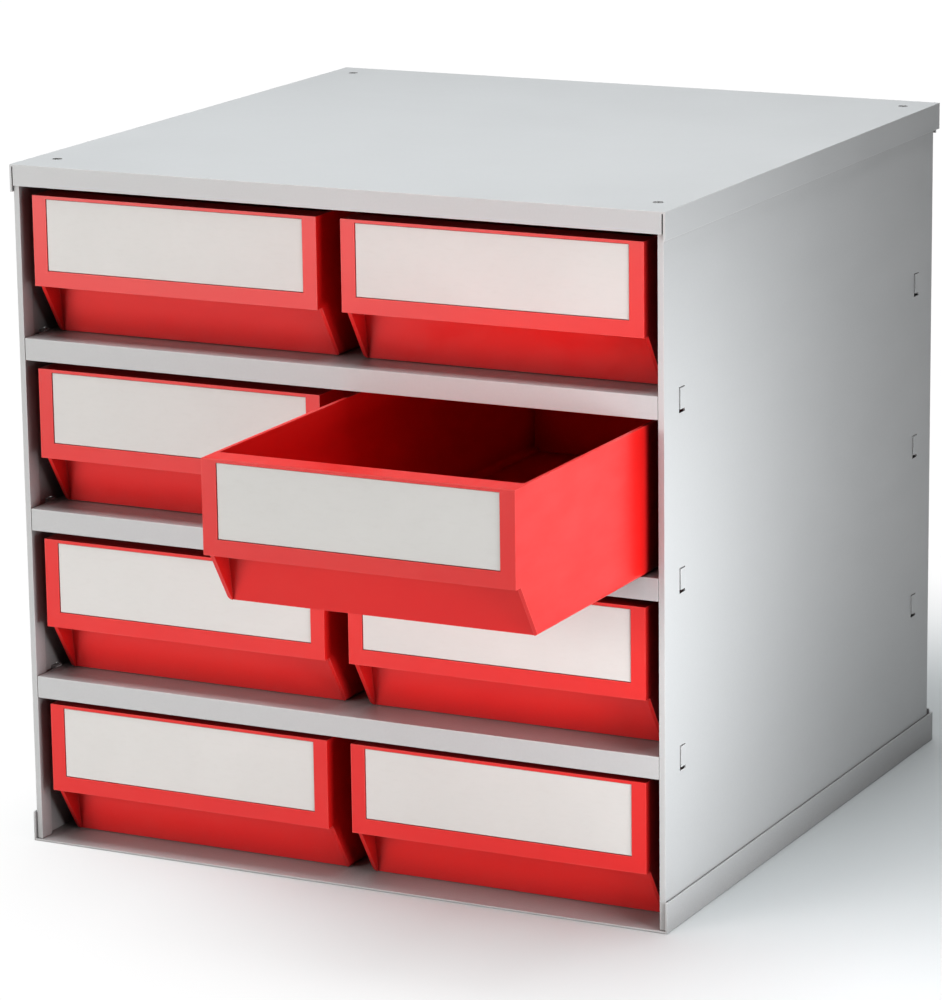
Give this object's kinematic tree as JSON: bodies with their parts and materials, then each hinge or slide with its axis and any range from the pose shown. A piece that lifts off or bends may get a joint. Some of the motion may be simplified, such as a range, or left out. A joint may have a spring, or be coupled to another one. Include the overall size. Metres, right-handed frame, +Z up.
{
  "type": "parts organizer",
  "caption": "Sheet-steel cabinet for small parts: shelves carry open-topped plastic drawers that slide out at the front, each with a framed label card and a finger grip.",
  "frame": {"origin": "centre of the housing's footprint, on the surface it stands on, under the bottom tray", "axes": "+Z up, +X to the right as seen from the front, +Y to the back; the drawers slide out along -Y"},
  "size_m": [0.4, 0.554, 0.395],
  "materials": {
    "housing_paint": "satin light-grey powder coat",
    "drawer_plastic": "satin moulded plastic, bright red",
    "label_card": "matt off-white card",
    "fastener_steel": "plain plated steel"
  },
  "bodies": {
    "housing": {"top_cover": "housing_paint", "bottom_tray": "housing_paint", "side_panel_left": "housing_paint", "side_panel_right": "housing_paint", "back_panel": "housing_paint", "shelf_lower": "housing_paint", "shelf_middle": "housing_paint", "shelf_upper": "housing_paint", "cover_screw_front_left": "fastener_steel", "cover_screw_rear_left": "fastener_steel", "cover_screw_front_right": "fastener_steel", "cover_screw_rear_right": "fastener_steel", "back_rivet_low_left": "fastener_steel", "back_rivet_mid_left": "fastener_steel", "back_rivet_high_left": "fastener_steel", "back_rivet_low_right": "fastener_steel", "back_rivet_mid_right": "fastener_steel", "back_rivet_high_right": "fastener_steel"},
    "drawer_1_left": {"drawer_row1_left": "drawer_plastic", "label_row1_left": "label_card"},
    "drawer_1_right": {"drawer_row1_right": "drawer_plastic", "label_row1_right": "label_card"},
    "drawer_2_left": {"drawer_row2_left": "drawer_plastic", "label_row2_left": "label_card"},
    "drawer_2_right": {"drawer_row2_right": "drawer_plastic", "label_row2_right": "label_card"},
    "drawer_3_left": {"drawer_row3_left": "drawer_plastic", "label_row3_left": "label_card"},
    "drawer_3_right": {"drawer_row3_right": "drawer_plastic", "label_row3_right": "label_card"},
    "drawer_4_left": {"drawer_row4_left": "drawer_plastic", "label_row4_left": "label_card"},
    "drawer_4_right": {"drawer_row4_right": "drawer_plastic", "label_row4_right": "label_card"}
  },
  "joints": [
    {"name": "slide_1_left", "type": "slide", "parent": "housing", "child": "drawer_1_left", "axis": [0, -1, 0], "range_m": [0, 0.33]},
    {"name": "slide_1_right", "type": "slide", "parent": "housing", "child": "drawer_1_right", "axis": [0, -1, 0], "range_m": [0, 0.33]},
    {"name": "slide_2_left", "type": "slide", "parent": "housing", "child": "drawer_2_left", "axis": [0, -1, 0], "range_m": [0, 0.33]},
    {"name": "slide_2_right", "type": "slide", "parent": "housing", "child": "drawer_2_right", "axis": [0, -1, 0], "range_m": [-0.156, 0.174]},
    {"name": "slide_3_left", "type": "slide", "parent": "housing", "child": "drawer_3_left", "axis": [0, -1, 0], "range_m": [0, 0.33]},
    {"name": "slide_3_right", "type": "slide", "parent": "housing", "child": "drawer_3_right", "axis": [0, -1, 0], "range_m": [0, 0.33]},
    {"name": "slide_4_left", "type": "slide", "parent": "housing", "child": "drawer_4_left", "axis": [0, -1, 0], "range_m": [0, 0.33]},
    {"name": "slide_4_right", "type": "slide", "parent": "housing", "child": "drawer_4_right", "axis": [0, -1, 0], "range_m": [0, 0.33]}
  ]
}
